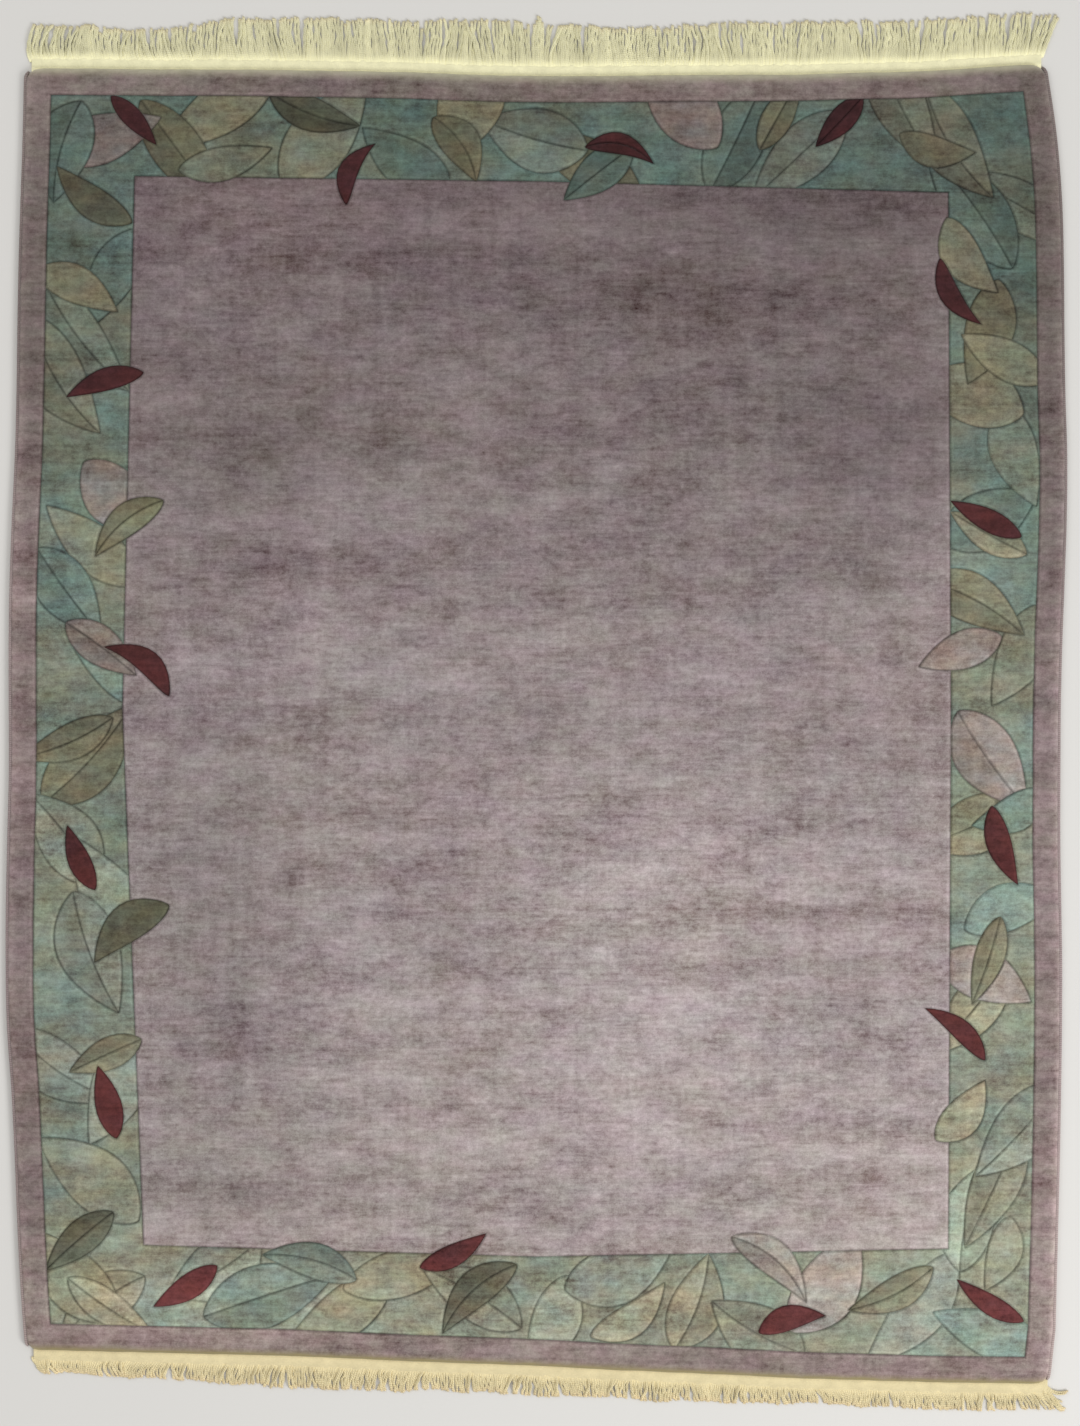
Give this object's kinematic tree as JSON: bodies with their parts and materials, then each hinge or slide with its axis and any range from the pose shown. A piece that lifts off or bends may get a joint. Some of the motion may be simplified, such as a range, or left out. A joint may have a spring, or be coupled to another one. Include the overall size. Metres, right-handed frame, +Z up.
{
  "type": "nepalese rug",
  "caption": "Flat hand-knotted wool pile rug with a carved leaf border round a plain field, overcast sides and cotton fringe at both ends.",
  "frame": {"origin": "on the floor under the middle of the whole rug, fringe included", "axes": "+Y along the rug towards its upper end, which has the longer fringe; +X across it to the right; +Z up out of the pile"},
  "size_m": [2.0119, 2.6563, 0.013],
  "materials": {
    "pile_wool": "sheared wool pile, soft sheen",
    "side_wool": "wool yarn, overcast",
    "warp_cotton": "unbleached cotton, matt"
  },
  "bodies": {
    "root": {"rug_body": "pile_wool", "selvedge_left": "side_wool", "selvedge_right": "side_wool", "fringe_top": "warp_cotton", "fringe_bottom": "warp_cotton"}
  },
  "joints": []
}
